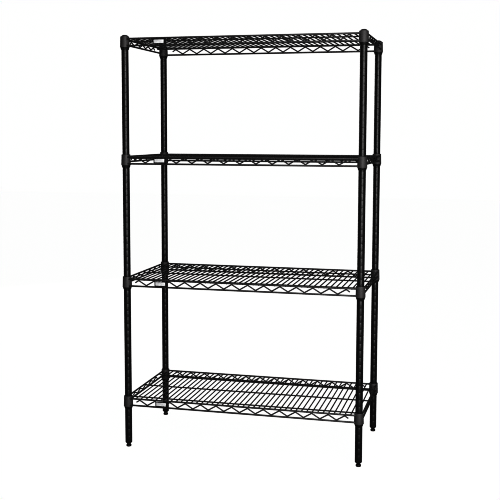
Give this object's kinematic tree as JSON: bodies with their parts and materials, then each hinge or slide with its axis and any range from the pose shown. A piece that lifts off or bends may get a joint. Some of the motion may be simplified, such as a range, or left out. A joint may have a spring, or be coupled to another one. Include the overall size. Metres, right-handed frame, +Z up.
{
  "type": "wire shelving rack",
  "caption": "Free-standing black wire shelving rack: grooved round posts on levelling feet, with lift-off welded wire shelves on conical corner collars.",
  "frame": {"origin": "on the floor, midway between the four feet", "axes": "+Z up along the posts, +X to the right along the shelves, front towards -Y"},
  "size_m": [0.9144, 0.4572, 1.5495],
  "materials": {
    "post_epoxy": "semi-gloss black epoxy",
    "shelf_epoxy": "semi-gloss black epoxy",
    "sleeve_plastic": "moulded black plastic",
    "cap_plastic": "moulded black plastic",
    "insert_plastic": "moulded black plastic",
    "stem_steel": "black zinc-plated threaded steel",
    "pad_plastic": "moulded black plastic",
    "tag_plate": "blank pale label plate"
  },
  "bodies": {
    "posts": {"post_front_left": "post_epoxy", "cap_front_left": "cap_plastic", "insert_front_left": "insert_plastic", "post_front_right": "post_epoxy", "cap_front_right": "cap_plastic", "insert_front_right": "insert_plastic", "post_back_left": "post_epoxy", "cap_back_left": "cap_plastic", "insert_back_left": "insert_plastic", "post_back_right": "post_epoxy", "cap_back_right": "cap_plastic", "insert_back_right": "insert_plastic", "sleeve_1_front_left_front_half": "sleeve_plastic", "sleeve_1_front_left_rear_half": "sleeve_plastic", "sleeve_1_front_right_front_half": "sleeve_plastic", "sleeve_1_front_right_rear_half": "sleeve_plastic", "sleeve_1_back_left_front_half": "sleeve_plastic", "sleeve_1_back_left_rear_half": "sleeve_plastic", "sleeve_1_back_right_front_half": "sleeve_plastic", "sleeve_1_back_right_rear_half": "sleeve_plastic", "sleeve_2_front_left_front_half": "sleeve_plastic", "sleeve_2_front_left_rear_half": "sleeve_plastic", "sleeve_2_front_right_front_half": "sleeve_plastic", "sleeve_2_front_right_rear_half": "sleeve_plastic", "sleeve_2_back_left_front_half": "sleeve_plastic", "sleeve_2_back_left_rear_half": "sleeve_plastic", "sleeve_2_back_right_front_half": "sleeve_plastic", "sleeve_2_back_right_rear_half": "sleeve_plastic", "sleeve_3_front_left_front_half": "sleeve_plastic", "sleeve_3_front_left_rear_half": "sleeve_plastic", "sleeve_3_front_right_front_half": "sleeve_plastic", "sleeve_3_front_right_rear_half": "sleeve_plastic", "sleeve_3_back_left_front_half": "sleeve_plastic", "sleeve_3_back_left_rear_half": "sleeve_plastic", "sleeve_3_back_right_front_half": "sleeve_plastic", "sleeve_3_back_right_rear_half": "sleeve_plastic", "sleeve_4_front_left_front_half": "sleeve_plastic", "sleeve_4_front_left_rear_half": "sleeve_plastic", "sleeve_4_front_right_front_half": "sleeve_plastic", "sleeve_4_front_right_rear_half": "sleeve_plastic", "sleeve_4_back_left_front_half": "sleeve_plastic", "sleeve_4_back_left_rear_half": "sleeve_plastic", "sleeve_4_back_right_front_half": "sleeve_plastic", "sleeve_4_back_right_rear_half": "sleeve_plastic"},
    "shelf_1": {"shelf_1": "shelf_epoxy", "tag_1": "tag_plate"},
    "shelf_2": {"shelf_2": "shelf_epoxy", "tag_2": "tag_plate"},
    "shelf_3": {"shelf_3": "shelf_epoxy", "tag_3": "tag_plate"},
    "shelf_4": {"shelf_4": "shelf_epoxy", "tag_4": "tag_plate"},
    "foot_pad_front_left": {"foot_pad_front_left": "pad_plastic"},
    "foot_stem_front_left": {"foot_stem_front_left": "stem_steel"},
    "foot_pad_front_right": {"foot_pad_front_right": "pad_plastic"},
    "foot_stem_front_right": {"foot_stem_front_right": "stem_steel"},
    "foot_pad_back_left": {"foot_pad_back_left": "pad_plastic"},
    "foot_stem_back_left": {"foot_stem_back_left": "stem_steel"},
    "foot_pad_back_right": {"foot_pad_back_right": "pad_plastic"},
    "foot_stem_back_right": {"foot_stem_back_right": "stem_steel"}
  },
  "joints": [
    {"name": "shelf_1_lift", "type": "slide", "parent": "posts", "child": "shelf_1", "axis": [0, 0, 1], "range_m": [0, 0.4]},
    {"name": "shelf_2_lift", "type": "slide", "parent": "posts", "child": "shelf_2", "axis": [0, 0, 1], "range_m": [0, 0.4]},
    {"name": "shelf_3_lift", "type": "slide", "parent": "posts", "child": "shelf_3", "axis": [0, 0, 1], "range_m": [0, 0.375]},
    {"name": "shelf_4_lift", "type": "slide", "parent": "posts", "child": "shelf_4", "axis": [0, 0, 1], "range_m": [0, 0.1]},
    {"name": "foot_travel_front_left", "type": "slide", "parent": "posts", "child": "foot_pad_front_left", "axis": [0, 0, -1], "range_m": [0, 0.0191]},
    {"name": "foot_turn_front_left", "type": "hinge", "parent": "foot_pad_front_left", "child": "foot_stem_front_left", "pos_m": [-0.4398, -0.2112, 0.008], "axis": [0, 0, -1], "range_deg": [0, 4560]},
    {"name": "foot_travel_front_right", "type": "slide", "parent": "posts", "child": "foot_pad_front_right", "axis": [0, 0, -1], "range_m": [0, 0.0191]},
    {"name": "foot_turn_front_right", "type": "hinge", "parent": "foot_pad_front_right", "child": "foot_stem_front_right", "pos_m": [0.4398, -0.2112, 0.008], "axis": [0, 0, -1], "range_deg": [0, 4560]},
    {"name": "foot_travel_back_left", "type": "slide", "parent": "posts", "child": "foot_pad_back_left", "axis": [0, 0, -1], "range_m": [0, 0.0191]},
    {"name": "foot_turn_back_left", "type": "hinge", "parent": "foot_pad_back_left", "child": "foot_stem_back_left", "pos_m": [-0.4398, 0.2112, 0.008], "axis": [0, 0, -1], "range_deg": [0, 4560]},
    {"name": "foot_travel_back_right", "type": "slide", "parent": "posts", "child": "foot_pad_back_right", "axis": [0, 0, -1], "range_m": [0, 0.0191]},
    {"name": "foot_turn_back_right", "type": "hinge", "parent": "foot_pad_back_right", "child": "foot_stem_back_right", "pos_m": [0.4398, 0.2112, 0.008], "axis": [0, 0, -1], "range_deg": [0, 4560]}
  ],
  "couplings": [
    {"joint": "foot_travel_front_left", "follows": "foot_turn_front_left", "m_per_rad": 0.00023873},
    {"joint": "foot_travel_front_right", "follows": "foot_turn_front_right", "m_per_rad": 0.00023873},
    {"joint": "foot_travel_back_left", "follows": "foot_turn_back_left", "m_per_rad": 0.00023873},
    {"joint": "foot_travel_back_right", "follows": "foot_turn_back_right", "m_per_rad": 0.00023873}
  ]
}
